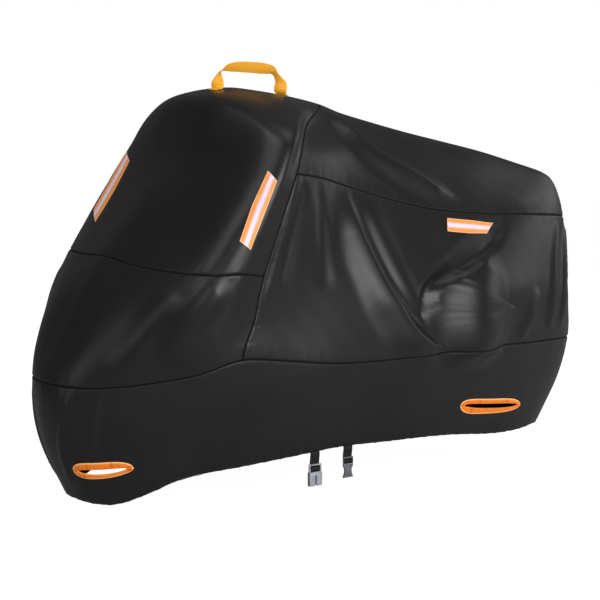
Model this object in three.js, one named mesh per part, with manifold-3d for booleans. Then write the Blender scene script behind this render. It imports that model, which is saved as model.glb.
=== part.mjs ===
// A fitted motorcycle cover of coated cloth, in the shape it takes when it is pulled over the vehicle.
// Millimetres, +Z up. The nose points to -Y, and +X is the rider's left.
// Heights in the tables are above the ground; the finished group is moved so that its own origin
// is under the middle of the part, at the height of its lowest buckle.

import * as THREE from "three";
import { mergeVertices } from "three/addons/utils/BufferGeometryUtils.js";
import Module from "manifold-3d";

const wasm = await Module();
wasm.setup();

// Driving dimensions
const clothThickness = 2;
const seamGap = 0.3; // between two sewn panels
const layerGap = 0.9; // between a panel and what lies on it
const tapeThickness = 1.2;
const webbingThickness = 1.8;
const handleWidth = 42;
const beltWidth = 35;
const beltDrop = { female: 38, male: 34 }; // webbing that shows between hem and buckle
const hemTurn = 18; // the hem is turned in by this much
const eyeletRim = { raise: 2.4, thickness: 1.6 }; // binding sewn round a lock hole
const eyeletLip = 9; // half the height of a lock hole's slit at its middle
const farSideShift = 0.14; // the folds of the far side lie this many stations further back
const farSideDepth = 0.85; // and are this much as deep

// Stations run round the cover from the middle of the nose (0) to the middle of the tail (13).
// Rings run down it from the ridge to the hem. Each cell is [x, y, z]; the ridge is on x = 0.
const rings = {
  ridge: [
    [0, -455, 1253], [0, -425, 1260], [0, -370, 1268], [0, -290, 1259], [0, -180, 1240],
    [0, -47, 1211], [0, 50, 1178], [0, 170, 1145], [0, 310, 1109], [0, 480, 1069],
    [0, 650, 1029], [0, 820, 981], [0, 915, 952], [0, 965, 930],
  ],
  crown: [
    [0, -525, 1225], [120, -515, 1224], [218, -472, 1214], [296, -424, 1187], [316, -345, 1168],
    [228, -250, 1152], [180, -105, 1122], [155, 40, 1090], [150, 200, 1047], [150, 380, 998],
    [150, 550, 952], [120, 760, 917], [70, 920, 900], [0, 995, 892],
  ],
  upperSeam: [
    [0, -575, 1060], [140, -568, 1060], [275, -545, 1056], [370, -512, 1050], [412, -465, 1043],
    [385, -400, 1033], [340, -275, 1010], [300, -140, 975], [275, 40, 925], [260, 235, 880],
    [245, 440, 853], [200, 700, 830], [115, 920, 805], [0, 1025, 785],
  ],
  crossSeam: [
    [0, -822, 787], [140, -800, 772], [275, -752, 761], [374, -694, 758], [402, -608, 757],
    [378, -510, 742], [360, -360, 735], [345, -180, 715], [340, 30, 685], [330, 260, 660],
    [300, 470, 640], [220, 720, 620], [120, 950, 600], [0, 1035, 590],
  ],
  knee: [
    [0, -945, 605], [120, -928, 600], [222, -872, 592], [308, -800, 590], [372, -680, 600],
    [372, -542, 612], [366, -385, 605], [360, -200, 585], [352, 32, 562], [332, 270, 545],
    [295, 478, 530], [218, 728, 510], [122, 952, 490], [0, 1042, 475],
  ],
  bandSeam: [
    [0, -1030, 432], [95, -1008, 430], [170, -955, 430], [250, -865, 441], [332, -720, 467],
    [365, -578, 500], [370, -400, 478], [370, -215, 452], [355, 40, 438], [320, 290, 435],
    [280, 490, 420], [210, 735, 398], [120, 950, 380], [0, 1045, 365],
  ],
  skirt: [
    [0, -1022, 255], [90, -1000, 255], [160, -945, 260], [235, -845, 276], [290, -690, 300],
    [320, -540, 325], [330, -360, 325], [325, -160, 310], [320, 80, 300], [290, 300, 290],
    [255, 490, 270], [195, 720, 250], [110, 920, 240], [0, 1005, 230],
  ],
  hem: [
    [0, -945, 85], [80, -925, 80], [140, -880, 85], [180, -785, 112], [200, -660, 140],
    [225, -500, 155], [240, -330, 165], [250, -120, 170], [250, 110, 161], [238, 300, 148],
    [205, 500, 122], [160, 690, 105], [95, 840, 95], [0, 925, 80],
  ],
};
const ringNumber = { ridge: 0, crown: 1, upperSeam: 2, crossSeam: 3, bandSeam: 5, hem: 7, turnedHem: 8 };
const archStation = 5;
const tailStation = 13;

// Folds, each a ridge (height above 0) or a trough along points on the cover.
// Columns: station, ring, height, reach on the tail's side of the line, reach on the nose's side.
const folds = {
  crownPull: [
    [5.35, 0.3, 8, 46, 66], [6.0, 0.6, 18, 50, 86], [6.55, 0.92, 26, 54, 92],
    [7.15, 1.2, 28, 54, 92], [7.75, 1.36, 28, 54, 92], [8.3, 1.47, 26, 50, 88],
    [8.9, 1.63, 20, 46, 76], [9.6, 1.86, 8, 38, 50],
  ],
  longPull: [
    [6.85, 2.03, 12, 30, 80], [7.25, 2.5, 18, 38, 100], [7.57, 2.97, 21, 42, 110],
    [7.82, 3.5, 24, 42, 120], [8.0, 4.0, 26, 40, 122], [8.2, 4.42, 26, 36, 112],
    [8.45, 4.78, 19, 34, 100], [8.75, 5.1, 6, 34, 80],
  ],
  innerPull: [
    [7.42, 2.04, 4, 80, 46], [7.76, 2.54, 8, 76, 52], [8.07, 3.1, 9, 64, 50],
    [8.27, 3.6, 5, 46, 40], [8.35, 4.0, 2, 30, 26],
  ],
  saddleBulge: [
    [10.1, 2.5, 8, 120, 50], [9.7, 2.85, 24, 200, 100], [9.5, 3.2, 36, 240, 165],
    [9.42, 3.8, 45, 260, 190], [9.38, 4.4, 51, 250, 190], [9.33, 5.0, 46, 220, 180],
    [9.3, 5.6, 15, 160, 140],
  ],
  archRoll: [
    [5.1, 1.9, 2, 18, 20], [5.2, 2.33, 4, 22, 24], [5.25, 2.84, 4, 20, 24], [5.2, 3.5, 2, 18, 20],
  ],
  softPucker: [[5.88, 2.04, -3, 30, 30], [6.33, 2.53, -5, 40, 40], [6.62, 3.3, -3, 50, 50]],
  noseLight: [
    [3.6, 3.08, 5, 60, 60], [3.35, 3.5, 12, 66, 76], [3.38, 4.1, 12, 66, 76],
    [3.5, 4.75, 5, 54, 54],
  ],
  noseCorner: [[2.3, 3.2, 3, 60, 60], [2.38, 3.8, 7, 70, 70], [2.35, 4.8, 4, 60, 60]],
  tailFoldFront: [[11.05, 3.3, 5, 28, 60], [10.83, 4.15, 13, 34, 70], [10.55, 4.9, 7, 30, 50]],
  tailFoldMiddle: [[11.85, 2.1, 6, 24, 40], [11.5, 2.9, 13, 28, 50], [11.35, 4.75, 9, 28, 44]],
  tailFoldRear: [[12.45, 2.15, 6, 26, 34], [11.95, 2.8, 13, 26, 34], [11.7, 4.75, 9, 26, 34]],
  noseGatherA: [[1.18, 5.08, 3, 20, 18], [0.75, 5.9, 6, 22, 20], [0.3, 6.75, 4, 20, 18]],
  noseGatherB: [[2.15, 5.08, 3, 20, 18], [1.85, 5.9, 5, 22, 20], [1.5, 6.25, 2, 20, 18]],
};
// Sharp troughs, deepest along their own line: the same columns.
const creases = {
  saddleValley: [
    [10.55, 2.03, -6, 40, 60], [10.2, 2.4, -16, 36, 105], [9.68, 2.64, -22, 32, 95],
    [9.05, 2.85, -24, 32, 62], [8.6, 3.05, -24, 46, 38], [8.4, 3.4, -22, 90, 30],
    [8.34, 3.9, -18, 95, 26], [8.42, 4.4, -9, 80, 20],
  ],
  archCrease: [[5.4, 2.04, -5, 30, 20], [5.5, 2.45, -8, 50, 24], [5.5, 3.2, -4, 60, 24]],
};
const foldSteps = 22; // straight pieces that each fold's line is measured by

// Slack of the cloth everywhere: a low swell, so that no panel is a perfect curve.
const slack = { height: 3, perStation: 1.9, perRing: 1.3 };
// The far side of the nose stands out further than the near one: middle and reach of that swell.
const farNose = { height: 26, station: [-2.1, 1.9], ring: [3.7, 1.9] };

// Columns of the panels' mesh: [station, steps to the next row's station]; rows: [ring, steps].
const columnSteps = [
  [0, 4], [1, 4], [2.5, 1], [3, 3], [4, 3], [5, 4], [6, 5], [7, 6], [8, 6], [9, 2], [9.35, 8],
  [10.7, 5], [12, 3], [13, 0],
];
const rowSteps = [[0, 2], [1, 3], [2, 5], [3, 3], [4, 3], [5, 2], [6, 0]];
const slitRows = { above: -0.08, below: 0.08 }; // the skirt's cut-outs, in rings from their middle
const skirtRows = { low: 6.8, turn: [7, 7.35, 7.7] };

// Lock holes, the same on both sides: first and last station, the slit's ring at each of them,
// the gap under the binding, and its face's width on each side of the slit.
const eyelets = [
  {
    name: "front", from: 0.97, to: 2.66, ring: [6.4, 6.43], gap: 1.12,
    face: { upper: 24, lower: [17, 9], start: 14, end: 13 },
  },
  {
    name: "rear", from: 9.29, to: 10.82, ring: [6.3, 6.4], gap: 0.9,
    face: { upper: 19, lower: [27, 11], start: 24, end: 12 },
  },
];

// Reflective tapes. Rows run down the tape's place and columns along it, each cell [station, ring].
const nearFrontTape = [
  [[3.25, 2.01], [3.82, 2.11]],
  [[3.2, 2.35], [3.88, 2.44]],
  [[3.35, 2.66], [3.95, 2.74]],
];
const farFrontTape = [
  [[1.88, 2.09], [2.62, 1.98]],
  [[1.66, 2.37], [2.42, 2.31]],
  [[1.5, 2.68], [2.25, 2.58]],
];
const rearTape = [
  [[9.25, 2.12], [9.73, 2.13], [10.23, 2.16]],
  [[9.18, 2.31], [9.63, 2.32], [10.08, 2.31]],
];
const tapes = [
  { name: "front_left", side: 1, corners: nearFrontTape, steps: [4, 10] },
  { name: "front_right", side: -1, corners: farFrontTape, steps: [4, 10] },
  { name: "rear_left", side: 1, corners: rearTape, steps: [10, 4] },
  { name: "rear_right", side: -1, corners: rearTape, steps: [10, 4] },
];

// The handle's webbing. Columns: y, height above the cover, turn about its own run (degrees), width.
const handleRun = [
  [-430, 0.4, 0, 42], [-421, 1.5, 0, 42], [-414, 8, 30, 42], [-411, 20, 46, 36], [-408, 33, 40, 26],
  [-402, 48, -6, 16], [-386, 57, -38, 30], [-350, 61, -50, 40], [-300, 65, -52, 42],
  [-250, 68, -52, 42], [-214, 68, -42, 37], [-197, 60, -24, 21], [-184, 46, -34, 26],
  [-176, 30, -48, 38], [-177, 13, -36, 42], [-170, 1, 0, 42], [-160, 0, 0, 42],
];

// Belts under the middle of the near side, by the station they hang from.
const belts = { female: 6.53, male: 7.1 };
const ladder = { bar: 4, slot: 6, middle: 8, thickness: 3.6 }; // the webbing lock on each buckle half
const femaleBody = {
  width: 46, length: 44, thickness: 13,
  mouthWidth: 32, mouthDepth: 30, mouth: 8, slot: 5, window: 15,
};
const maleBody = { width: 38, waist: 25, length: 42, thickness: 7, slit: 1.8, slitLength: 20, side: 5.5 };
const plasticEdge = 3;

const finish = {
  cloth: { color: 0x2f2f31, roughness: 0.62, metalness: 0 },
  binding: { color: 0xd9741c, roughness: 0.7, metalness: 0 },
  tape: { color: 0xe9a068, roughness: 0.35, metalness: 0 },
  handle: { color: 0xf6ad38, roughness: 0.75, metalness: 0 },
  webbing: { color: 0x17171a, roughness: 0.8, metalness: 0 },
  paleClip: { color: 0xa9adb2, roughness: 0.4, metalness: 0 },
  darkClip: { color: 0x55585d, roughness: 0.4, metalness: 0 },
};

const root = new THREE.Group();

function addPiece(name, geometry, look) {
  const mesh = new THREE.Mesh(geometry, new THREE.MeshStandardMaterial(finish[look]));
  mesh.name = name;
  root.add(mesh);
}

// The smooth cover

// Control points with one more station past the nose and the tail, mirrored, one more ring across
// the ridge, and the rings of the turned hem, so that the spline is smooth at every edge.
function buildControls() {
  const mirrored = ([x, y, z]) => [-x, y, z];
  const rows = Object.values(rings).map((row) => [mirrored(row[1]), ...row, mirrored(row.at(-2))]);
  const hemRow = rows.at(-1);
  const turned = (share) =>
    hemRow.map(([x, y, z]) => {
      const inward = new THREE.Vector2(-x, THREE.MathUtils.clamp(y, -700, 650) - y);
      inward.setLength(hemTurn * share);
      return [x + inward.x, y + inward.y, z + (share > 1 ? 6 : 0)];
    });
  return [rows[1].map(mirrored), ...rows, turned(1), turned(2)].map((row) =>
    row.map((cell) => new THREE.Vector3(...cell)),
  );
}
const controls = buildControls();

function splineWeights(t) {
  const t2 = t * t;
  const t3 = t2 * t;
  return [(-t + 2 * t2 - t3) / 2, (2 - 5 * t2 + 3 * t3) / 2, (t + 4 * t2 - 3 * t3) / 2, (-t2 + t3) / 2];
}

// A point of the smooth near side; station may run a little past either end.
function smoothPoint(station, ring) {
  const side = station < 0 ? -1 : 1;
  const at = Math.abs(station);
  const column = THREE.MathUtils.clamp(Math.floor(at), 0, tailStation - 1);
  const row = THREE.MathUtils.clamp(Math.floor(ring), 0, ringNumber.turnedHem - 1);
  const across = splineWeights(at - column);
  const down = splineWeights(ring - row);
  const point = new THREE.Vector3();
  down.forEach((wDown, j) => {
    across.forEach((wAcross, i) => point.addScaledVector(controls[row + j][column + i], wDown * wAcross));
  });
  point.x *= side;
  return point;
}

function normalOf(surface, station, ring) {
  const step = 0.004;
  const low = Math.max(ring - step, 0.0005);
  const across = surface(station + step, ring).sub(surface(station - step, ring));
  const down = surface(station, ring + step).sub(surface(station, low));
  return down.cross(across).normalize();
}

// Folds

function foldLine(rows, sharp) {
  const route = rows.map(([station, ring]) => new THREE.Vector3(station, ring, 0));
  const path = new THREE.CatmullRomCurve3(route);
  const sizes = new THREE.CatmullRomCurve3(rows.map(([, , ...size]) => new THREE.Vector3(...size)));
  const line = [];
  for (let k = 0; k <= foldSteps; k++) {
    const at = path.getPoint(k / foldSteps);
    const size = sizes.getPoint(k / foldSteps);
    const ends = Math.min(1, Math.min(k, foldSteps - k) / 3);
    const place = smoothPoint(at.x, at.y);
    line.push({ at, place, height: size.x * ends, behind: size.y, ahead: size.z });
  }
  const box = new THREE.Box3().setFromPoints(line.map((p) => p.place));
  const widest = Math.max(...line.map((p) => Math.max(p.behind, p.ahead)));
  return { line, sharp, box: box.expandByScalar(widest) };
}
const foldLines = [
  ...Object.values(folds).map((rows) => foldLine(rows, false)),
  ...Object.values(creases).map((rows) => foldLine(rows, true)),
];

// Height of all folds at a point of the near side.
function foldHeight(place, normal) {
  let total = 0;
  for (const { line, sharp, box } of foldLines) {
    if (!box.containsPoint(place)) continue;
    let best = { distance: Infinity };
    for (let k = 0; k < foldSteps; k++) {
      const a = line[k];
      const b = line[k + 1];
      const run = b.place.clone().sub(a.place);
      const t = THREE.MathUtils.clamp(place.clone().sub(a.place).dot(run) / run.lengthSq(), 0, 1);
      const off = place.clone().sub(a.place).addScaledVector(run, -t);
      const distance = off.length();
      if (distance < best.distance) best = { distance, a, b, t, off, run };
    }
    const { distance, a, b, t, off, run } = best;
    const behind = normal.clone().cross(run).dot(off) > 0;
    const key = behind ? "behind" : "ahead";
    const reach = THREE.MathUtils.lerp(a[key], b[key], t);
    if (distance >= reach) continue;
    const height = THREE.MathUtils.lerp(a.height, b.height, t);
    const share = distance / reach;
    total += height * (sharp ? (1 - share) ** 1.5 : 0.5 + 0.5 * Math.cos(Math.PI * share));
  }
  return total;
}

const hill = (value, middle, reach) => Math.max(0, 1 - ((value - middle) / reach) ** 2) ** 2;

// Folds and slack fade out at the ridge, where the two sides meet, and at the nose and tail.
function coverPoint(station, ring) {
  const point = smoothPoint(station, ring);
  const side = station < 0 ? -1 : 1;
  const at = Math.abs(station) - (side < 0 ? farSideShift : 0);
  const place = smoothPoint(at, ring);
  const normal = normalOf(smoothPoint, at, ring);
  const toEnds = Math.min(Math.abs(station), tailStation - Math.abs(station));
  const fade = Math.min(1, ring / 0.5) * Math.min(1, toEnds / 0.6);
  const swell = Math.sin(slack.perStation * station) * Math.sin(slack.perRing * ring + 0.4 * station);
  const fullness = farNose.height * hill(station, ...farNose.station) * hill(ring, ...farNose.ring);
  const fold = foldHeight(place, normal) * (side < 0 ? farSideDepth : 1);
  const depth = fold + slack.height * swell + fullness;
  return point.addScaledVector(normalOf(smoothPoint, station, ring), depth * Math.max(0, fade));
}

// Sheets

function spread(steps) {
  const marks = [];
  steps.forEach(([from, count], k) => {
    for (let n = 0; n < count; n++) marks.push(from + ((steps[k + 1][0] - from) * n) / count);
  });
  marks.push(steps.at(-1)[0]);
  return marks;
}
const columnMarks = spread(columnSteps);
const rowMarks = spread(rowSteps);
const between = (marks, from, to) => marks.filter((m) => m >= from - 1e-6 && m <= to + 1e-6);

// Shifts a mark off a seam by half the gap, measured along the cloth.
function offSeam(station, ring, alongStation, alongRing) {
  const tiny = 0.01;
  const here = smoothPoint(station, ring);
  const there = smoothPoint(station + tiny * alongStation, ring + tiny * alongRing);
  return ((seamGap / 2) * tiny) / here.distanceTo(there);
}

// Two panels that meet at a seam split its wall along the same diagonals.
const wallOrder = (p) => p.z + 0.37 * p.y + 0.61 * p.x;

// A closed solid from a grid of surface points. Points of one place are one point, so a grid
// may close on itself. Cells in the skip test are left open.
function thicken(grid, thickness, skip = () => false) {
  const key = (p) => [p.x, p.y, p.z].map((c) => Math.round(c * 500)).join(" ");
  const index = new Map();
  const outer = [];
  const normals = [];
  const ids = grid.map((row) =>
    row.map(({ point, normal }) => {
      const name = key(point);
      if (!index.has(name)) {
        index.set(name, outer.length);
        outer.push(point);
        normals.push(normal.clone());
      } else {
        normals[index.get(name)].add(normal);
      }
      return index.get(name);
    }),
  );
  const faces = [];
  const addFace = (a, b, c) => {
    if (a !== b && b !== c && a !== c) faces.push([a, b, c]);
  };
  for (let j = 0; j + 1 < ids.length; j++) {
    for (let i = 0; i + 1 < ids[j].length; i++) {
      if (skip(i, j)) continue;
      const [a, b, c, d] = [ids[j][i], ids[j][i + 1], ids[j + 1][i + 1], ids[j + 1][i]];
      addFace(a, d, b);
      addFace(b, d, c);
    }
  }
  const edges = new Map();
  faces.forEach((face) => {
    face.forEach((a, k) => {
      const b = face[(k + 1) % 3];
      if (edges.has(b + " " + a)) edges.delete(b + " " + a);
      else edges.set(a + " " + b, [a, b]);
    });
  });
  const inner = outer.map((p, k) => p.clone().addScaledVector(normals[k].normalize(), -thickness));
  const n = outer.length;
  const triangles = faces.flatMap(([a, b, c]) => [a, b, c, n + a, n + c, n + b]);
  for (const [a, b] of edges.values()) {
    if (wallOrder(outer[a]) < wallOrder(outer[b])) triangles.push(a, n + a, n + b, a, n + b, b);
    else triangles.push(b, a, n + a, b, n + a, n + b);
  }
  const geometry = new THREE.BufferGeometry().setFromPoints([...outer, ...inner]);
  geometry.setIndex(triangles);
  return geometry;
}

// A panel between two stations and two rings. An edge named in seams is drawn in by half a gap.
function panelGrid(stations, ringMarks, seams) {
  return ringMarks.map((ring, j) =>
    stations.map((station, i) => {
      let [s, r] = [station, ring];
      if (seams.ends && i === 0) s += offSeam(station, ring, 1, 0);
      if (seams.ends && i === stations.length - 1) s -= offSeam(station, ring, -1, 0);
      if (seams.top && j === 0) r += offSeam(station, ring, 0, 1);
      if (seams.bottom && j === ringMarks.length - 1) r -= offSeam(station, ring, 0, -1);
      return { point: coverPoint(s, r), normal: normalOf(coverPoint, s, r) };
    }),
  );
}

function makePanels() {
  const half = between(columnMarks, 0, archStation);
  const front = [...half.slice(1).reverse().map((m) => -m), ...half];
  const rear = between(columnMarks, archStation, tailStation);
  const { ridge, upperSeam, crossSeam, bandSeam } = ringNumber;
  const rows = (from, to) => between(rowMarks, from, to);
  const frontUpper = panelGrid(front, rows(ridge, crossSeam), { ends: true, bottom: true });
  const frontLower = panelGrid(front, rows(crossSeam, bandSeam), { ends: true, top: true, bottom: true });
  addPiece("front_upper_panel", thicken(frontUpper, clothThickness), "cloth");
  addPiece("front_lower_panel", thicken(frontLower, clothThickness), "cloth");
  const seat = [...rear, ...rear.slice(0, -1).reverse().map((m) => -m)];
  const seatGrid = panelGrid(seat, rows(ridge, upperSeam), { ends: true, bottom: true });
  addPiece("seat_panel", thicken(seatGrid, clothThickness), "cloth");
  const sideRows = rows(upperSeam, bandSeam);
  const sideSeams = { ends: true, top: true, bottom: true };
  const left = panelGrid(rear, sideRows, sideSeams);
  const right = panelGrid(rear.map((m) => -m).reverse(), sideRows, sideSeams);
  addPiece("side_panel_left", thicken(left, clothThickness), "cloth");
  addPiece("side_panel_right", thicken(right, clothThickness), "cloth");
}

// The ring at which the lock holes' middles lie, easing from the front pair to the rear pair.
function slitRing(station) {
  const at = Math.abs(station);
  const { clamp, lerp, smoothstep } = THREE.MathUtils;
  const [front, rear] = eyelets.map(({ from, to, ring }) => {
    return lerp(...ring, clamp((at - from) / (to - from), 0, 1));
  });
  return lerp(front, rear, smoothstep(at, eyelets[0].to, eyelets[1].from));
}

function makeSkirt() {
  const ringOf = (station) => {
    const middle = slitRing(station);
    const upper = between(rowMarks, ringNumber.bandSeam, 6);
    return [...upper, middle + slitRows.above, middle + slitRows.below, skirtRows.low, ...skirtRows.turn];
  };
  const stations = [...columnMarks.slice(1).reverse().map((m) => -m), ...columnMarks];
  const slitRow = between(rowMarks, ringNumber.bandSeam, 6).length;
  const grid = ringOf(0).map((_, j) =>
    stations.map((station) => {
      let ring = ringOf(station)[j];
      if (j === 0) ring += offSeam(station, ring, 0, 1);
      return { point: coverPoint(station, ring), normal: normalOf(coverPoint, station, ring) };
    }),
  );
  const open = (i, j) => {
    const middle = Math.abs(stations[i] + stations[i + 1]) / 2;
    return j === slitRow && eyelets.some(({ from, to }) => middle > from && middle < to);
  };
  addPiece("skirt_panel", thicken(grid, clothThickness, open), "cloth");
}

// A closed ring of cloth strip round each lock hole, a little raised along its middle.
function eyeletGeometry({ from, to, ring, gap, face }, side) {
  const steps = 36;
  const middle = (from + to) / 2;
  const halfSpan = (to - from) / 2;
  const centre = (ring[0] + ring[1]) / 2;
  const across = smoothPoint(middle, centre - 0.1).distanceTo(smoothPoint(middle, centre + 0.1)) / 0.2;
  const along = smoothPoint(from, ring[0]).distanceTo(smoothPoint(to, ring[1])) / 2;
  // share of the face outside the slit's lip, height over the cloth
  const section = [
    [0, gap + eyeletRim.thickness],
    [0.5, gap + eyeletRim.raise],
    [1, gap + eyeletRim.thickness],
    [1, gap],
    [0.5, gap],
    [0, gap],
  ];
  const points = [];
  for (let k = 0; k < steps; k++) {
    const angle = (2 * Math.PI * k) / steps;
    const [cos, sin] = [Math.cos(angle), Math.sin(angle)];
    const lipAlong = Math.sign(cos) * Math.abs(cos) ** 0.7 * (along - 6);
    const lipAcross = sin * eyeletLip;
    const endWidth = cos < 0 ? face.start : face.end;
    const sideWidth = sin < 0 ? face.upper : THREE.MathUtils.lerp(...face.lower, (cos + 1) / 2);
    const width = THREE.MathUtils.lerp(sideWidth, endWidth, cos ** 4);
    const outward = new THREE.Vector2(cos ** 3, Math.sign(sin) * Math.abs(sin) ** 0.6);
    outward.setLength(width);
    section.forEach(([share, lift]) => {
      const away = (lipAlong + outward.x * share) / along;
      const s = side * (middle + away * halfSpan);
      const r = THREE.MathUtils.lerp(...ring, (away + 1) / 2) + (lipAcross + outward.y * share) / across;
      points.push(coverPoint(s, r).addScaledVector(normalOf(coverPoint, s, r), lift));
    });
  }
  return closedTube(points, steps, section.length, true, side);
}

// A solid from steps sections of the same number of points, closed into a loop or with flat ends.
function closedTube(points, steps, size, loop, side = 1) {
  const triangles = [];
  const id = (k, m) => (k % steps) * size + (m % size);
  for (let k = 0; k < (loop ? steps : steps - 1); k++) {
    for (let m = 0; m < size; m++) {
      const [a, b, c, d] = [id(k, m), id(k + 1, m), id(k + 1, m + 1), id(k, m + 1)];
      triangles.push(a, b, c, a, c, d);
    }
  }
  if (!loop) {
    for (let m = 1; m + 1 < size; m++) {
      triangles.push(id(0, 0), id(0, m), id(0, m + 1));
      triangles.push(id(steps - 1, 0), id(steps - 1, m + 1), id(steps - 1, m));
    }
  }
  if (side < 0) {
    for (let k = 0; k < triangles.length; k += 3) {
      triangles.splice(k + 1, 2, triangles[k + 2], triangles[k + 1]);
    }
  }
  return new THREE.BufferGeometry().setFromPoints(points).setIndex(triangles);
}

function makeEyelets() {
  for (const eyelet of eyelets) {
    addPiece("lock_hole_" + eyelet.name + "_left", eyeletGeometry(eyelet, 1), "binding");
    addPiece("lock_hole_" + eyelet.name + "_right", eyeletGeometry(eyelet, -1), "binding");
  }
}

// A value between the cells of a list, t running from 0 at the first to 1 at the last.
function alongList(list, t, mix) {
  const at = t * (list.length - 1);
  const k = Math.min(Math.floor(at), list.length - 2);
  return mix(list[k], list[k + 1], at - k);
}

// A tape that lies on the cloth between the corners that its rows and columns give.
function tapeGeometry({ corners, side, steps }) {
  const mix = (a, b, t) => a.map((value, k) => THREE.MathUtils.lerp(value, b[k], t));
  const marks = (count) => Array.from({ length: count + 1 }, (_, k) => k / count);
  const grid = marks(steps[1]).map((down) => {
    const row = marks(steps[0]).map((across) => {
      const [station, r] = alongList(corners.map((cells) => alongList(cells, across, mix)), down, mix);
      const s = side * station;
      const normal = normalOf(coverPoint, s, r);
      return { point: coverPoint(s, r).addScaledVector(normal, layerGap + tapeThickness), normal };
    });
    return side < 0 ? row.reverse() : row;
  });
  return thicken(grid, tapeThickness);
}

function makeTapes() {
  for (const tape of tapes) addPiece("reflective_tape_" + tape.name, tapeGeometry(tape), "tape");
}

// Webbing along a path of { point, turn, width }: turn is about the run, from the axis given.
function webbingGeometry(rows, axis, steps) {
  const path = new THREE.CatmullRomCurve3(rows.map((row) => row.point), false, "centripetal");
  const sizes = new THREE.CatmullRomCurve3(rows.map((row) => new THREE.Vector3(row.turn, row.width, 0)));
  const points = [];
  for (let k = 0; k <= steps; k++) {
    const at = path.getPoint(k / steps);
    const run = path.getTangent(k / steps);
    const size = sizes.getPoint(k / steps);
    const flat = axis.clone().addScaledVector(run, -axis.dot(run)).normalize();
    const up = run.clone().cross(flat);
    const turn = THREE.MathUtils.degToRad(size.x);
    const wide = flat.clone().multiplyScalar(Math.cos(turn)).addScaledVector(up, Math.sin(turn));
    const thick = run.clone().cross(wide);
    const corner = (w, t) => {
      const place = at.clone().addScaledVector(wide, (w * size.y) / 2);
      return place.addScaledVector(thick, (t * webbingThickness) / 2);
    };
    points.push(corner(-1, -1), corner(-1, 1), corner(1, 1), corner(1, -1));
  }
  return closedTube(points, steps + 1, 4, false);
}

// Height of the cover's top at a given y, as far out as the handle is wide.
function topHeight(y) {
  let highest = 0;
  for (let station = 0; station < 7; station += 0.05) {
    for (let ring = 0; ring < 0.4; ring += 0.05) {
      const p = smoothPoint(station, ring);
      if (p.x < handleWidth / 2 && Math.abs(p.y - y) < 5) highest = Math.max(highest, p.z);
    }
  }
  return highest;
}

function makeHandle() {
  const seat = layerGap + webbingThickness / 2;
  const rows = handleRun.map(([y, up, turn, width]) => ({
    point: new THREE.Vector3(0, y, topHeight(y) + seat + up),
    turn,
    width: (width / 42) * handleWidth,
  }));
  addPiece("handle_webbing", webbingGeometry(rows, new THREE.Vector3(1, 0, 0), 48), "handle");
}

// Buckles and belts

function toSolid(geometry) {
  const bare = geometry.index ? geometry.toNonIndexed() : geometry.clone();
  bare.deleteAttribute("normal");
  bare.deleteAttribute("uv");
  const merged = mergeVertices(bare, 1e-4);
  return new wasm.Manifold(
    new wasm.Mesh({
      numProp: 3,
      vertProperties: new Float32Array(merged.attributes.position.array),
      triVerts: new Uint32Array(merged.index.array),
    }),
  );
}

function toGeometry(solid) {
  const { numProp, vertProperties, triVerts } = solid.getMesh();
  const geometry = new THREE.BufferGeometry();
  geometry.setAttribute("position", new THREE.BufferAttribute(new Float32Array(vertProperties), numProp));
  geometry.setIndex(new THREE.BufferAttribute(new Uint32Array(triVerts), 1));
  return geometry;
}

function block(width, thickness, height, top, x = 0, y = 0) {
  return toSolid(new THREE.BoxGeometry(width, thickness, height).translate(x, y, top - height / 2));
}

// A plate with an outline in X and Z, centred on Y.
function plate(corners, thickness) {
  const shape = new THREE.Shape(corners.map(([x, z]) => new THREE.Vector2(x, z)));
  const slab = new THREE.ExtrudeGeometry(shape, { depth: thickness, bevelEnabled: false });
  return toSolid(slab.translate(0, 0, -thickness / 2).rotateX(Math.PI / 2));
}

// The ladder that locks the webbing, with its top at z = 0, as wide as the buckle.
const ladderHeight = ladder.bar + 2 * ladder.slot + ladder.middle;
function ladderFrame(width) {
  const rail = (width - beltWidth - 2) / 2;
  const foot = 2; // reaches into the body below
  const frame = block(width, ladder.thickness, ladderHeight + foot, 0);
  const inside = width - 2 * rail;
  const upper = block(inside, ladder.thickness * 2, ladder.slot, -ladder.bar);
  const low = -ladder.bar - ladder.slot - ladder.middle;
  const lower = block(inside, ladder.thickness * 2, ladder.slot, low);
  return frame.subtract(upper).subtract(lower);
}

function femaleBuckle() {
  const { width, length, thickness, mouthWidth, mouthDepth, mouth, slot, window } = femaleBody;
  const top = -ladderHeight;
  const half = width / 2;
  const outline = [
    [-half + plasticEdge, top], [half - plasticEdge, top], [half, top - plasticEdge],
    [half, top - length + plasticEdge / 2], [half - plasticEdge / 2, top - length],
    [-half + plasticEdge / 2, top - length], [-half, top - length + plasticEdge / 2],
    [-half, top - plasticEdge],
  ];
  const bottom = top - length;
  let body = plate(outline, thickness).add(ladderFrame(width));
  body = body.subtract(block(mouthWidth, mouth, mouthDepth + 1, bottom + mouthDepth));
  body = body.subtract(block(slot, thickness + 2, mouthDepth + 4, bottom + mouthDepth + 3));
  return body.subtract(block(width + 2, mouth - 2, window, bottom + plasticEdge + window));
}

function maleBuckle() {
  const { width, waist, length, thickness, slit, slitLength, side } = maleBody;
  const top = -ladderHeight;
  // half the width, depth below the ladder
  const edge = [
    [(width + waist) / 4 + 2, 0], [(width + waist) / 4 + 1.5, 6], [waist / 2 + 1, 12],
    [waist / 2, 19], [waist / 2 + 0.5, 25], [waist / 2 + 3, 33], [width / 2, length - 1],
  ];
  const outline = [
    ...edge.map(([x, down]) => [-x, top - down]),
    ...edge.reverse().map(([x, down]) => [x, top - down]),
  ];
  const low = top - length - 1 + slitLength;
  let body = plate(outline, thickness).add(ladderFrame(width));
  for (const x of [-side, side]) {
    body = body.subtract(block(slit, thickness + 2, slitLength, low, x));
  }
  return body;
}

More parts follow.
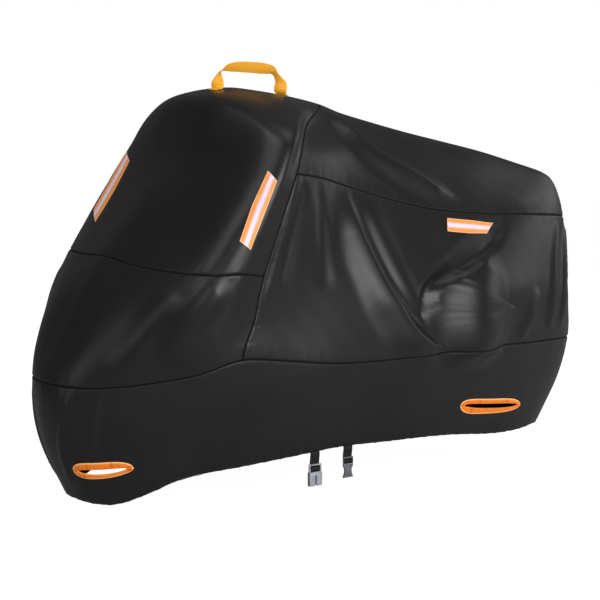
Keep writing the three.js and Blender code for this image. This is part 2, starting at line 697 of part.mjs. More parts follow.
// The webbing's run through the ladder. Columns: distance in front of the buckle, height over its top.
const threading = [
  [-2, 14], [-3.2, 5], [-3.4, -1], [-2.8, -5], [0, -7.2], [2.8, -9.2], [3.4, -12], [3.4, -16],
  [2.8, -18.8], [0, -21], [-2.6, -22.6],
];

function makeBelt(kind, solid, look) {
  const station = belts[kind];
  const bottomOfHem = [6.9, 7, 7.1, 7.2, 7.3].map((r) => coverPoint(station, r));
  const lowest = bottomOfHem.reduce((a, b) => (a.z < b.z ? a : b));
  const ahead = smoothPoint(station + 0.2, 7).sub(smoothPoint(station - 0.2, 7)).setZ(0).normalize();
  const outward = ahead.clone().cross(new THREE.Vector3(0, 0, 1));
  const top = lowest.clone().setZ(lowest.z - layerGap);
  const drop = beltDrop[kind];
  const at = (front, height) =>
    top.clone().addScaledVector(outward, front).setZ(top.z - drop + height);
  const rows = [[0, drop], [0, drop - 8], ...threading].map(([front, height]) => ({
    point: at(front, height),
    turn: 0,
    width: beltWidth,
  }));
  addPiece("belt_webbing_" + kind, webbingGeometry(rows, ahead, 36), "webbing");
  const buckle = toGeometry(solid);
  buckle.rotateZ(Math.atan2(ahead.y, ahead.x));
  buckle.translate(top.x, top.y, top.z - drop);
  addPiece("buckle_" + kind, buckle, look);
}

makePanels();
makeSkirt();
makeEyelets();
makeTapes();
makeHandle();
makeBelt("female", femaleBuckle(), "paleClip");
makeBelt("male", maleBuckle(), "darkClip");

// The origin is under the middle of the finished part, at its lowest point.
const whole = new THREE.Box3().setFromObject(root);
const middle = whole.getCenter(new THREE.Vector3());
root.position.set(-middle.x, -middle.y, -whole.min.z);

export default root;
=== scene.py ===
import math

import bpy
import bmesh
import numpy as np
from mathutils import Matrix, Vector


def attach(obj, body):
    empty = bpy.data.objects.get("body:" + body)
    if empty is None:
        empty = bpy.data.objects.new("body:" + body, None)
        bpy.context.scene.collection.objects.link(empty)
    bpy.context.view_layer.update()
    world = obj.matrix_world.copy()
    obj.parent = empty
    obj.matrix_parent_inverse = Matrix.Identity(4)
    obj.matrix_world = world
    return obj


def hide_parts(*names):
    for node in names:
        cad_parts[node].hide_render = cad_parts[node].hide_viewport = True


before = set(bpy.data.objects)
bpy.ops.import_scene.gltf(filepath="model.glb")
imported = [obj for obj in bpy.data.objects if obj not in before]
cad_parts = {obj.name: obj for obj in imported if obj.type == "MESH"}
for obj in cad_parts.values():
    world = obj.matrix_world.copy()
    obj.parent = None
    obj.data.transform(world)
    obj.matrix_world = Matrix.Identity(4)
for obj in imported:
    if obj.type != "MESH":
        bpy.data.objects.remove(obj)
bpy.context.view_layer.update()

# Tables are in millimetres, with heights above the ground.
# The part's own origin lies at this place of theirs.
partOrigin = (0.39, 5.61, 50.64)

# The cloth's thickness, and how many rows and columns its mesh has from one ring or station to the next.
cloth = {
    "thickness": 1.6, "perStation": 23, "perRing": [30, 30, 46, 32, 32, 32, 34], "turnRows": 5,
}
# A seam's groove, and the puckers beside it: how high, how far from the seam and how long.
seam = {
    "gap": 0.3, "marks": [1.2, 3, 6, 9.5], "depth": 3, "reach": 3.6,
    "pucker": 0.35, "puckerPeak": 9, "puckerReach": 30, "puckerLength": 46,
}
gather = {"height": 0.7, "reach": 34, "length": 62, "hem": 4900}  # gathers along the whole hem
ripple = {"height": 0.6, "length": 230}
sharpAngle = 60
stitch = {
    "pitch": 5.2, "size": (3.9, 0.95, 0.7), "inset": 6, "hemInset": 14, "endGap": 3, "lift": 0.05,
}

# Rings from the ridge down to the hem. Each has a point at every station, from the nose to the tail.
rings = {
    "ridge": [
        (0, -455, 1253), (0, -425, 1260), (0, -370, 1268), (0, -290, 1259), (0, -180, 1240),
        (0, -47, 1211), (0, 50, 1178), (0, 170, 1145), (0, 310, 1109), (0, 480, 1069),
        (0, 650, 1029), (0, 820, 981), (0, 915, 952), (0, 965, 930),
    ],
    "crown": [
        (0, -525, 1225), (120, -515, 1224), (218, -472, 1214), (296, -424, 1187), (316, -345, 1168),
        (228, -250, 1152), (180, -105, 1122), (155, 40, 1090), (150, 200, 1047), (150, 380, 998),
        (150, 550, 952), (120, 760, 917), (70, 920, 900), (0, 995, 892),
    ],
    "upperSeam": [
        (0, -575, 1060), (140, -568, 1060), (275, -545, 1056), (370, -512, 1050), (412, -465, 1043),
        (385, -400, 1033), (340, -275, 1010), (300, -140, 975), (275, 40, 925), (260, 235, 880),
        (245, 440, 853), (200, 700, 830), (115, 920, 805), (0, 1025, 785),
    ],
    "crossSeam": [
        (0, -822, 787), (140, -800, 772), (275, -752, 761), (374, -694, 758), (402, -608, 757),
        (378, -510, 742), (360, -360, 735), (345, -180, 715), (340, 30, 685), (330, 260, 660),
        (300, 470, 640), (220, 720, 620), (120, 950, 600), (0, 1035, 590),
    ],
    "knee": [
        (0, -945, 605), (120, -928, 600), (222, -872, 592), (308, -800, 590), (372, -680, 600),
        (372, -542, 612), (366, -385, 605), (360, -200, 585), (352, 32, 562), (332, 270, 545),
        (295, 478, 530), (218, 728, 510), (122, 952, 490), (0, 1042, 475),
    ],
    "bandSeam": [
        (0, -1030, 432), (95, -1008, 430), (170, -955, 430), (250, -865, 441), (332, -720, 467),
        (365, -578, 500), (370, -400, 478), (370, -215, 452), (355, 40, 438), (320, 290, 435),
        (280, 490, 420), (210, 735, 398), (120, 950, 380), (0, 1045, 365),
    ],
    "skirt": [
        (0, -1022, 255), (90, -1000, 255), (160, -945, 260), (235, -845, 276), (290, -690, 300),
        (320, -540, 325), (330, -360, 325), (325, -160, 310), (320, 80, 300), (290, 300, 290),
        (255, 490, 270), (195, 720, 250), (110, 920, 240), (0, 1005, 230),
    ],
    "hem": [
        (0, -945, 85), (80, -925, 80), (140, -880, 85), (180, -785, 112), (200, -660, 140),
        (225, -500, 155), (240, -330, 165), (250, -120, 170), (250, 110, 161), (238, 300, 148),
        (205, 500, 122), (160, 690, 105), (95, 840, 95), (0, 925, 80),
    ],
}
archStation, tailStation, hemTurn = 5, 13, 18
upperRing, crossRing, bandRing, hemRing, turnedRing = 2, 3, 5, 7, 7.7
inwardFrom, inwardTo, turnedRise = -700, 650, 6  # the turned hem leans towards this stretch

# Station, ring, height, reach on the tail's side, reach on the nose's side.
folds = {
    "crownPull": [
        (5.35, 0.3, 8, 46, 66), (6.0, 0.6, 18, 50, 86), (6.55, 0.92, 26, 54, 92),
        (7.15, 1.2, 28, 54, 92), (7.75, 1.36, 28, 54, 92), (8.3, 1.47, 26, 50, 88),
        (8.9, 1.63, 20, 46, 76), (9.6, 1.86, 8, 38, 50),
    ],
    "longPull": [
        (6.85, 2.03, 12, 30, 80), (7.25, 2.5, 18, 38, 100), (7.57, 2.97, 21, 42, 110),
        (7.82, 3.5, 24, 42, 120), (8.0, 4.0, 26, 40, 122), (8.2, 4.42, 26, 36, 112),
        (8.45, 4.78, 19, 34, 100), (8.75, 5.1, 6, 34, 80),
    ],
    "innerPull": [
        (7.42, 2.04, 4, 80, 46), (7.76, 2.54, 8, 76, 52), (8.07, 3.1, 9, 64, 50),
        (8.27, 3.6, 5, 46, 40), (8.35, 4.0, 2, 30, 26),
    ],
    "saddleBulge": [
        (10.1, 2.5, 8, 120, 50), (9.7, 2.85, 24, 200, 100), (9.5, 3.2, 36, 240, 165),
        (9.42, 3.8, 45, 260, 190), (9.38, 4.4, 51, 250, 190), (9.33, 5.0, 46, 220, 180),
        (9.3, 5.6, 15, 160, 140),
    ],
    "archRoll": [
        (5.1, 1.9, 2, 18, 20), (5.2, 2.33, 4, 22, 24), (5.25, 2.84, 4, 20, 24),
        (5.2, 3.5, 2, 18, 20),
    ],
    "softPucker": [(5.88, 2.04, -3, 30, 30), (6.33, 2.53, -5, 40, 40), (6.62, 3.3, -3, 50, 50)],
    "noseLight": [
        (3.6, 3.08, 5, 60, 60), (3.35, 3.5, 12, 66, 76), (3.38, 4.1, 12, 66, 76),
        (3.5, 4.75, 5, 54, 54),
    ],
    "noseCorner": [(2.3, 3.2, 3, 60, 60), (2.38, 3.8, 7, 70, 70), (2.35, 4.8, 4, 60, 60)],
    "tailFoldFront": [(11.05, 3.3, 5, 28, 60), (10.83, 4.15, 13, 34, 70), (10.55, 4.9, 7, 30, 50)],
    "tailFoldMiddle": [(11.85, 2.1, 6, 24, 40), (11.5, 2.9, 13, 28, 50), (11.35, 4.75, 9, 28, 44)],
    "tailFoldRear": [(12.45, 2.15, 6, 26, 34), (11.95, 2.8, 13, 26, 34), (11.7, 4.75, 9, 26, 34)],
    "noseGatherA": [(1.18, 5.08, 3, 20, 18), (0.75, 5.9, 6, 22, 20), (0.3, 6.75, 4, 20, 18)],
    "noseGatherB": [(2.15, 5.08, 3, 20, 18), (1.85, 5.9, 5, 22, 20), (1.5, 6.25, 2, 20, 18)],
}
# Sharp troughs, deepest along their line: the same columns.
creases = {
    "saddleValley": [
        (10.55, 2.03, -6, 40, 60), (10.2, 2.4, -16, 36, 105), (9.68, 2.64, -22, 32, 95),
        (9.05, 2.85, -24, 32, 62), (8.6, 3.05, -24, 46, 38), (8.4, 3.4, -22, 90, 30),
        (8.34, 3.9, -18, 95, 26), (8.42, 4.4, -9, 80, 20),
    ],
    "archCrease": [(5.4, 2.04, -5, 30, 20), (5.5, 2.45, -8, 50, 24), (5.5, 3.2, -4, 60, 24)],
}
foldSteps, creaseSharpness = 22, 1.5
fading = {"ring": 0.5, "station": 0.6}  # folds fade out at the ridge, the nose and the tail
farSide = {"shift": 0.14, "depth": 0.85}  # its folds lie a little further back and are shallower
slack = {"height": 3, "perStation": 1.9, "perRing": 1.3}
# The far side of the nose stands out further than the near one.
farNose = {"height": 26, "station": (-2.1, 1.9), "ring": (3.7, 1.9)}


def say(*words):
    print("scene:", *words, flush=True)


# The smooth cover

def buildControls():
    mirror = lambda p: (-p[0], p[1], p[2])
    rows = [[mirror(r[1]), *r, mirror(r[-2])] for r in rings.values()]
    turned = []
    for share in (1, 2):
        row = []
        for x, y, z in rows[-1]:
            inward = np.array([-x, min(max(y, inwardFrom), inwardTo) - y])
            inward = inward * hemTurn * share / np.linalg.norm(inward)
            row.append((x + inward[0], y + inward[1], z + turnedRise * (share > 1)))
        turned.append(row)
    return np.array([[mirror(p) for p in rows[1]], *rows, *turned], float)


controls = buildControls()


def splineWeights(t):
    t2, t3 = t * t, t * t * t
    ends = (-t + 2 * t2 - t3) / 2, (-t2 + t3) / 2
    return [ends[0], (2 - 5 * t2 + 3 * t3) / 2, (t + 4 * t2 - 3 * t3) / 2, ends[1]]


def smoothPoint(station, ring):
    side = np.where(station < 0, -1.0, 1.0)
    at = np.abs(station)
    column = np.clip(np.floor(at), 0, tailStation - 1).astype(int)
    row = np.clip(np.floor(ring), 0, hemRing).astype(int)
    across, down = splineWeights(at - column), splineWeights(ring - row)
    point = np.zeros((*np.shape(at), 3))
    for j in range(4):
        for i in range(4):
            point += controls[row + j, column + i] * (down[j] * across[i])[..., None]
    point[..., 0] *= side
    return point


def unit(v):
    return v / np.maximum(np.linalg.norm(v, axis=-1, keepdims=True), 1e-9)


def normalOf(surface, station, ring):
    step = 0.004
    low = np.maximum(ring - step, 0.0005)
    across = surface(station + step, ring) - surface(station - step, ring)
    down = surface(station, ring + step) - surface(station, low)
    return unit(np.cross(down, across))


# Folds

def splineThrough(rows, count):
    rows = np.array(rows, float)
    padded = np.vstack([2 * rows[0] - rows[1], rows, 2 * rows[-1] - rows[-2]])
    t = np.linspace(0, len(rows) - 1, count)
    k = np.minimum(t.astype(int), len(rows) - 2)
    w = splineWeights(t - k)
    return sum(padded[k + n] * w[n][:, None] for n in range(4))


def buildFold(rows, sharp):
    line = splineThrough(rows, foldSteps + 1)
    steps = np.arange(foldSteps + 1)
    ends = np.minimum(1, np.minimum(steps, foldSteps - steps) / 3)
    place = smoothPoint(line[:, 0], line[:, 1])
    widest = line[:, 3:5].max()
    return {
        "place": place, "height": line[:, 2] * ends, "reach": line[:, 3:5], "sharp": sharp,
        "low": place.min(0) - widest, "high": place.max(0) + widest,
    }


foldLines = [buildFold(rows, False) for rows in folds.values()]
foldLines += [buildFold(rows, True) for rows in creases.values()]


def foldHeight(place, normal, lines):
    total = np.zeros(len(place))
    for fold in lines:
        near = np.flatnonzero(np.all((place > fold["low"]) & (place < fold["high"]), axis=1))
        if not len(near):
            continue
        points, normals = place[near], normal[near]
        nearest = np.full(len(near), np.inf)
        height, reach = np.zeros(len(near)), np.ones(len(near))
        for k in range(foldSteps):
            start = fold["place"][k]
            run = fold["place"][k + 1] - start
            t = np.clip((points - start) @ run / (run @ run), 0, 1)
            off = points - start - t[:, None] * run
            distance = np.linalg.norm(off, axis=1)
            behind = (np.cross(normals, run) * off).sum(1) > 0
            low, high = fold["reach"][k], fold["reach"][k + 1]
            tailReach, noseReach = (low[n] + t * (high[n] - low[n]) for n in (0, 1))
            low, high = fold["height"][k], fold["height"][k + 1]
            better = distance < nearest
            nearest = np.where(better, distance, nearest)
            height = np.where(better, low + t * (high - low), height)
            reach = np.where(better, np.where(behind, tailReach, noseReach), reach)
        share = np.clip(nearest / reach, 0, 1)
        rounded, pointed = 0.5 + 0.5 * np.cos(math.pi * share), (1 - share) ** creaseSharpness
        total[near] += height * (pointed if fold["sharp"] else rounded)
    return total


def waves(place, length):
    x, y, z = (place / length * 2 * math.pi).T
    broad = np.sin(x + 1.7 * np.sin(0.6 * z) + 0.4) * np.sin(0.8 * y + 1.3 * np.sin(0.5 * z))
    return (broad + 0.6 * np.sin(1.9 * z + 1.1 * y) * np.sin(1.3 * y - 0.7 * x)) / 1.4


def hill(values, middle, reach):
    return np.clip(1 - ((values - middle) / reach) ** 2, 0, 1) ** 2


def coverPoint(station, ring):
    shape = np.shape(station)
    s, r = np.ravel(station).astype(float), np.ravel(np.broadcast_to(ring, shape)).astype(float)
    far = s < 0
    at = np.abs(s) - farSide["shift"] * far
    height = foldHeight(smoothPoint(at, r), normalOf(smoothPoint, at, r), foldLines)
    nearEnd = np.minimum(np.abs(s), tailStation - np.abs(s)) / fading["station"]
    fade = np.clip(np.minimum(r / fading["ring"], nearEnd), 0, 1)
    swell = np.sin(slack["perStation"] * s) * np.sin(slack["perRing"] * r + 0.4 * s)
    point = smoothPoint(s, r)
    depth = height * np.where(far, farSide["depth"], 1) + slack["height"] * swell
    depth = depth + farNose["height"] * hill(s, *farNose["station"]) * hill(r, *farNose["ring"])
    rippled = ripple["height"] * waves(point, ripple["length"]) * np.clip(r / fading["ring"], 0, 1)
    depth = depth * fade + rippled
    point = point + normalOf(smoothPoint, s, r) * depth[:, None]
    return point.reshape(*shape, 3)


def toPart(points):
    return (np.asarray(points) - partOrigin) / 1000


# Sheets

stationLength, ringLength = 150, 190  # about how far the cloth runs from one to the next
farFromSeams = 1e3


# Even marks, with the seam's own close to the edges that have one.
def mark(start, end, steps, edges=(False, False), perUnit=stationLength):
    marks = list(np.linspace(start, end, steps + 1))
    near = [m / perUnit for m in seam["marks"]]
    clear = near[-1] * 1.3
    if edges[0]:
        marks = [start, *(start + n for n in near), *(m for m in marks if m > start + clear)]
    if edges[1]:
        marks = [*(m for m in marks if m < end - clear), *(end - n for n in reversed(near)), end]
    return np.array(marks)


def ringMarks(first, last, edges):
    marks = []
    for ring in range(first, last):
        ends = edges[0] and ring == first, edges[1] and ring == last - 1
        marks += list(mark(ring, ring + 1, cloth["perRing"][ring], ends, ringLength))[:-1]
    return np.array([*marks, last])


def arcs(points):
    across, down = np.zeros(points.shape[:2]), np.zeros(points.shape[:2])
    across[:, 1:] = np.cumsum(np.linalg.norm(np.diff(points, axis=1), axis=2), axis=1)
    down[1:] = np.cumsum(np.linalg.norm(np.diff(points, axis=0), axis=2), axis=0)
    return across, down


def gridNormals(points):
    return unit(np.cross(np.gradient(points, axis=0), np.gradient(points, axis=1)))


def noiseLine(arc, length, seed):
    t = arc / length * 2 * math.pi
    fine = 0.7 * np.sin(1.73 * t + 2.1 * seed) + 0.5 * np.sin(2.71 * t + 0.7 * seed)
    return (np.sin(t + seed) + fine) / 1.6


# The grid's line that lies so many lines in from a named edge.
def edgeLine(name, k):
    lines = {"start": np.s_[:, k], "end": np.s_[:, -1 - k], "top": np.s_[k], "bottom": np.s_[-1 - k]}
    return lines[name]


# Draws a seam's edge in: a groove beside the stitching, and small puckers that fade away from it.
def dressSeams(points, seams, seed):
    across, down = arcs(points)
    normals = gridNormals(points)
    distance = {
        "start": across, "end": across[:, -1:] - across,
        "top": down, "bottom": down[-1:] - down,
    }
    nearest = np.full(across.shape, farFromSeams)
    lift = np.zeros(across.shape)
    for n, name in enumerate(seams):
        d = distance[name]
        along = down if name in ("start", "end") else across
        lift -= seam["depth"] * np.exp(-((d / seam["reach"]) ** 2) * 1.5)
        size = seam["pucker"] * (d / seam["puckerPeak"]) * np.exp(1 - d / seam["puckerPeak"])
        size += 0.35 * seam["pucker"] * np.exp(-d / seam["puckerReach"]) * np.clip(d / 12, 0, 1)
        lift += size * noiseLine(along + 0.25 * d, seam["puckerLength"], seed + 1.3 * n)
        nearest = np.minimum(nearest, d)
    points = points + normals * lift[..., None]
    for name in seams:
        edge, inside = edgeLine(name, 0), edgeLine(name, 1)
        points[edge] += unit(points[inside] - points[edge]) * seam["gap"] / 2
    return points, across, down, nearest


# A mesh from a grid of points, with its flat shape as the UV map and named measures of each point.
def gridMesh(name, points, across, down, marks, keep=None):
    rows, columns = points.shape[:2]
    ids = np.arange(rows * columns).reshape(rows, columns)
    quads = np.stack([ids[:-1, :-1], ids[1:, :-1], ids[1:, 1:], ids[:-1, 1:]], axis=-1).reshape(-1, 4)
    if keep is not None:
        quads = quads[keep.ravel()]
    mesh = bpy.data.meshes.new(name)
    mesh.from_pydata(toPart(points.reshape(-1, 3)).tolist(), [], quads.tolist())
    uv = mesh.uv_layers.new(name="flat")
    corner = np.zeros(len(mesh.loops), int)
    mesh.loops.foreach_get("vertex_index", corner)
    flat = np.stack([across.ravel(), -down.ravel()], axis=1)[corner] / 1000
    uv.data.foreach_set("uv", flat.ravel())
    for key, values in marks.items():
        value = mesh.attributes.new(key, "FLOAT", "POINT")
        value.data.foreach_set("value", values.ravel().astype(np.float32))
    return mesh


def cleanMesh(mesh, closed=False):
    work = bmesh.new()
    work.from_mesh(mesh)
    bmesh.ops.remove_doubles(work, verts=work.verts, dist=2e-6)
    bmesh.ops.delete(work, geom=[v for v in work.verts if not v.link_faces], context="VERTS")
    if closed:
        bmesh.ops.holes_fill(work, edges=[e for e in work.edges if e.is_boundary], sides=0)
        bmesh.ops.recalc_face_normals(work, faces=work.faces)
    work.to_mesh(mesh)
    work.free()


def addItem(name, data):
    item = bpy.data.objects.new(name, data)
    bpy.context.collection.objects.link(item)
    return item


def smooth(mesh):
    mesh.shade_smooth()
    mesh.set_sharp_from_angle(angle=math.radians(sharpAngle))


def finishObject(name, mesh, material):
    item = addItem(name, mesh)
    mesh.materials.clear()
    mesh.materials.append(material)
    smooth(mesh)
    return item


def bake(item):
    graph = bpy.context.evaluated_depsgraph_get()
    mesh = bpy.data.meshes.new_from_object(item.evaluated_get(graph))
    old = item.data
    item.modifiers.clear()
    item.data = mesh
    bpy.data.meshes.remove(old)


def sheetObject(name, points, across, down, marks, material, keep=None, thickness=None):
    mesh = gridMesh(name, points, across, down, marks, keep)
    cleanMesh(mesh)
    item = finishObject(name, mesh, material)
    shell = item.modifiers.new("shell", "SOLIDIFY")
    shell.thickness = (thickness or cloth["thickness"]) / 1000
    shell.offset = -1
    bake(item)
    smooth(item.data)
    return item


def dress(item, node):
    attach(item, "root")
    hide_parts(node)


# Materials

def newMaterial(name, **sockets):
    material = bpy.data.materials.new(name)
    material.use_nodes = True
    tree = material.node_tree
    shader = tree.nodes["Principled BSDF"]
    for key, value in sockets.items():
        shader.inputs[key.replace("_", " ")].default_value = value
    return material, tree, shader


def addNode(tree, kind, inputs=None, **settings):
    node = tree.nodes.new(kind)
    for key, value in settings.items():
        setattr(node, key, value)
    for key, value in (inputs or {}).items():
        sockets = [socket for socket in node.inputs if socket.enabled and socket.name == key]
        socket = sockets[0] if sockets else node.inputs[key]
        if isinstance(value, bpy.types.NodeSocket):
            tree.links.new(value, socket)
        else:
            socket.default_value = value
    return node


def outOf(node):
    return next(socket for socket in node.outputs if socket.enabled)


def ramp(tree, factor, stops):
    node = addNode(tree, "ShaderNodeValToRGB", {"Fac": factor})
    elements = node.color_ramp.elements
    while len(elements) < len(stops):
        elements.new(0.5)
    for element, (position, shade) in zip(elements, stops):
        element.position, element.color = position, (*shade, 1)
    return node.outputs["Color"]


def mapRange(tree, value, before=(0.0, 1.0), after=(0.0, 1.0)):
    limits = dict(zip(("From Min", "From Max", "To Min", "To Max"), (*before, *after)))
    return addNode(tree, "ShaderNodeMapRange", {"Value": value, **limits}).outputs["Result"]


def mix(tree, factor, a, b, kind="RGBA", way="MIX"):
    inputs = {"Factor": factor, "A": a, "B": b}
    return outOf(addNode(tree, "ShaderNodeMix", inputs, data_type=kind, blend_type=way))


def noise(tree, scale, detail=2.0):
    place = addNode(tree, "ShaderNodeTexCoord").outputs["Object"]
    inputs = {"Vector": place, "Scale": scale, "Detail": detail}
    return addNode(tree, "ShaderNodeTexNoise", inputs).outputs["Fac"]


def readMark(tree, name):
    return addNode(tree, "ShaderNodeAttribute", attribute_name=name).outputs["Fac"]


def addBump(tree, shader, height, strength, distance):
    inputs = {"Height": height, "Strength": strength, "Distance": distance}
    bump = addNode(tree, "ShaderNodeBump", inputs)
    tree.links.new(bump.outputs["Normal"], shader.inputs["Normal"])


# Warp and weft along the flat shape; weft is the share of the warp's scale.
def wovenBump(tree, shader, scale, distance, strength=0.3, weft=0.6):
    uv = addNode(tree, "ShaderNodeTexCoord").outputs["UV"]
    crossed = {}
    for k, (size, way) in enumerate(((scale, "X"), (scale * weft, "Y"))):
        inputs = {"Vector": uv, "Scale": size}
        crossed[k] = addNode(tree, "ShaderNodeTexWave", inputs, bands_direction=way).outputs["Fac"]
    weave = outOf(addNode(tree, "ShaderNodeMath", crossed, operation="MULTIPLY"))
    addBump(tree, shader, weave, strength, distance)
    return weave


# The colour lights itself a little too, where a glow is given: a painted glow that makes the part
# brighter than the lamps alone would.
def paint(tree, shader, color, glow=0):
    tree.links.new(color, shader.inputs["Base Color"])
    if glow:
        tree.links.new(color, shader.inputs["Emission Color"])
        shader.inputs["Emission Strength"].default_value = glow


coating = {
    "dark": (0.009, 0.009, 0.0092), "light": (0.012, 0.012, 0.0122), "rough": (0.33, 0.38),
    "seamShadeColor": (0.001, 0.001, 0.001, 1), "seamRough": 0.95, "seamReach": (1.5, 5.0),
}
# Painted glow of the orange bindings and the reflective tapes.
trimGlow = 0.22


def clothMaterial():
    material, tree, shader = newMaterial("coatedCloth", Sheen_Weight=0.0, Specular_IOR_Level=0.35)
    cloudy = noise(tree, 5.0, 4.0)
    color = ramp(tree, cloudy, [(0.3, coating["dark"]), (0.7, coating["light"])])
    # Painted shade: near each seam the colour goes almost black, as in the groove's shadow; the roughness
    # rises there too.
    atSeam = mapRange(tree, readMark(tree, "seam"), coating["seamReach"], (1.0, 0.0))
    paint(tree, shader, mix(tree, atSeam, color, coating["seamShadeColor"]))
    rough = mapRange(tree, cloudy, after=coating["rough"])
    rough = mix(tree, atSeam, rough, coating["seamRough"], "FLOAT")
    tree.links.new(rough, shader.inputs["Roughness"])
    wovenBump(tree, shader, 160.0, 0.0004, 0.12, 1.0)
    return material


def bindingMaterial():
    material, tree, shader = newMaterial("orangeBinding", Roughness=0.6, Specular_IOR_Level=0.3)
    # Painted highlight: the binding is lighter within a few millimetres of its outer edge and of its lip.
    inward = mapRange(tree, readMark(tree, "edge"), (0.0, 8.0))
    rim = [
        (0.0, (1, 0.5, 0.2)), (0.4, (1, 0.5, 0.2)), (0.62, (0.93, 0.26, 0.03)),
        (1.0, (0.88, 0.2, 0.012)),
    ]
    # Painted shade: the binding is coloured darker in its tucks, where the fold mark falls, with a little
    # random unevenness.
    uneven = mapRange(tree, noise(tree, 60.0, 3.0), (0.3, 0.6), (-0.12, 0.0))
    uneven = addNode(tree, "ShaderNodeMath", {0: readMark(tree, "fold"), 1: uneven}, operation="ADD")
    tuckShade = [(0.15, (0.4, 0.22, 0.2)), (0.6, (0.8, 0.68, 0.62)), (1.0, (1, 1, 1))]
    body = mix(tree, 1.0, ramp(tree, inward, rim), ramp(tree, outOf(uneven), tuckShade), way="MULTIPLY")
    paint(tree, shader, body, trimGlow)
    wovenBump(tree, shader, 300.0, 0.0004)
    return material


def tapeMaterial():
    material, tree, shader = newMaterial("reflectiveTape", Roughness=0.42, Specular_IOR_Level=0.5)
    stripes = [
        (0.0, (0.9, 0.42, 0.18)), (0.07, (0.95, 0.5, 0.22)), (0.14, (0.88, 0.29, 0.05)),
        (0.45, (0.88, 0.31, 0.07)), (0.62, (0.87, 0.38, 0.22)), (0.76, (0.74, 0.62, 0.76)),
        (1.0, (0.78, 0.7, 0.86)),
    ]
    atEnd = mapRange(tree, readMark(tree, "end"), (1.5, 4.0), (0.7, 0.0))
    body = mix(tree, atEnd, ramp(tree, readMark(tree, "middle"), stripes), (0.9, 0.62, 0.5, 1))
    worn = ramp(tree, noise(tree, 45.0), [(0.3, (0.9, 0.9, 0.9)), (0.65, (1, 1, 1))])
    paint(tree, shader, mix(tree, 1.0, body, worn, way="MULTIPLY"), trimGlow)
    wovenBump(tree, shader, 420.0, 0.0002, 0.2)
    return material


def webbingMaterial(name, color, shadow, roughness, glow=0):
    material, tree, shader = newMaterial(name, Roughness=roughness, Specular_IOR_Level=0.3)
    weave = wovenBump(tree, shader, 420.0, 0.0004, 0.5)
    paint(tree, shader, ramp(tree, weave, [(0.0, shadow), (0.5, color)]), glow)
    return material


def plasticMaterial(name, color, roughness):
    material, tree, shader = newMaterial(name, Specular_IOR_Level=0.5)
    cloudy = noise(tree, 90.0, 3.0)
    dim = tuple(0.8 * c for c in color)
    paint(tree, shader, ramp(tree, cloudy, [(0.35, dim), (0.65, color)]))
    rough = mapRange(tree, cloudy, after=(roughness - 0.06, roughness + 0.06))
    tree.links.new(rough, shader.inputs["Roughness"])
    addBump(tree, shader, noise(tree, 900.0), 0.15, 0.0003)
    return material


def threadMaterial(name, color):
    material, tree, shader = newMaterial(name, Roughness=0.7)
    dim = tuple(0.6 * c for c in color)
    paint(tree, shader, ramp(tree, noise(tree, 200.0), [(0.4, dim), (0.6, color)]))
    return material


say("materials")
clothLook = clothMaterial()
bindingLook = bindingMaterial()
tapeLook = tapeMaterial()
# The handle webbing has a painted glow too.
handleLook = webbingMaterial("yellowWebbing", (1, 0.5, 0.045), (0.9, 0.38, 0.025), 0.65, 0.2)
beltLook = webbingMaterial("blackWebbing", (0.012, 0.012, 0.013), (0.004, 0.004, 0.004), 0.6)
paleLook = plasticMaterial("palePlastic", (0.42, 0.43, 0.47), 0.38)
darkLook = plasticMaterial("darkPlastic", (0.16, 0.162, 0.175), 0.4)
threadLook = threadMaterial("blackThread", (0.01, 0.01, 0.01))


# Camera, lights and floor

# Place in metres; turn about the vertical and tilt down in degrees; lens in millimetres.
camera = {
    "place": (4.9096, -3.7538, 1.5172), "azimuth": 53.3534, "down": 8.6177,
    "lens": 117, "sensor": 36, "reach": 60,
}
stage = {
    "middle": (0, 0, 0.6), "lightDistance": 6, "sky": 0.125, "floorRadius": 5, "floorCorners": 96,
    "floorColor": (0.5, 0.5, 0.5, 1), "floorGlow": 0.93,
}
# Name, azimuth, elevation, power, width, height; every light looks at the middle of the cover.
lights = [
    ("sideKey", 11, 9, 285, 1.8, 4.6),
    ("tailSide", 78, 2, 12, 2.4, 1.2),
    ("tailEdge", 95, 16, 16, 2.4, 2.4),
    ("tailTop", 70, 68, 30, 2.4, 2.4),
    ("noseTop", 300, 68, 60, 2.4, 2.4),
    ("noseHigh", 290, 40, 46, 2.4, 2.4),
    ("cameraFill", 325, 10, 30, 2.4, 2.4),
    ("noseLow", 270, 10, 22, 2.4, 2.4),
]


def setCamera():
    data = bpy.data.cameras.new("camera")
    data.lens, data.sensor_width, data.clip_end = camera["lens"], camera["sensor"], camera["reach"]
    item = addItem("camera", data)
    item.location = toPart(np.array(camera["place"]) * 1000)
    item.rotation_euler = (math.radians(90 - camera["down"]), 0, math.radians(camera["azimuth"]))
    bpy.context.scene.camera = item


def setLights():
    for name, azimuth, elevation, power, width, height in lights:
        lamp = bpy.data.lights.new(name, "AREA")
        lamp.shape = "RECTANGLE"
        lamp.energy, lamp.size, lamp.size_y = power, width, height
        item = addItem(name, lamp)
        a, e = math.radians(azimuth), math.radians(elevation)
        away = Vector((math.cos(a) * math.cos(e), math.sin(a) * math.cos(e), math.sin(e)))
        item.location = Vector(stage["middle"]) + away * stage["lightDistance"]
        item.rotation_euler = (-away).to_track_quat("-Z", "Y").to_euler()
    world = bpy.data.worlds.new("studio")
    world.use_nodes = True
    tree = world.node_tree
    seen = addNode(tree, "ShaderNodeLightPath").outputs["Is Camera Ray"]
    strength = mapRange(tree, seen, after=(stage["sky"], 1.0))
    tree.links.new(strength, tree.nodes["Background"].inputs["Strength"])
    tree.nodes["Background"].inputs["Color"].default_value = (1, 1, 1, 1)
    bpy.context.scene.world = world
    bpy.context.scene.view_settings.view_transform = "Standard"


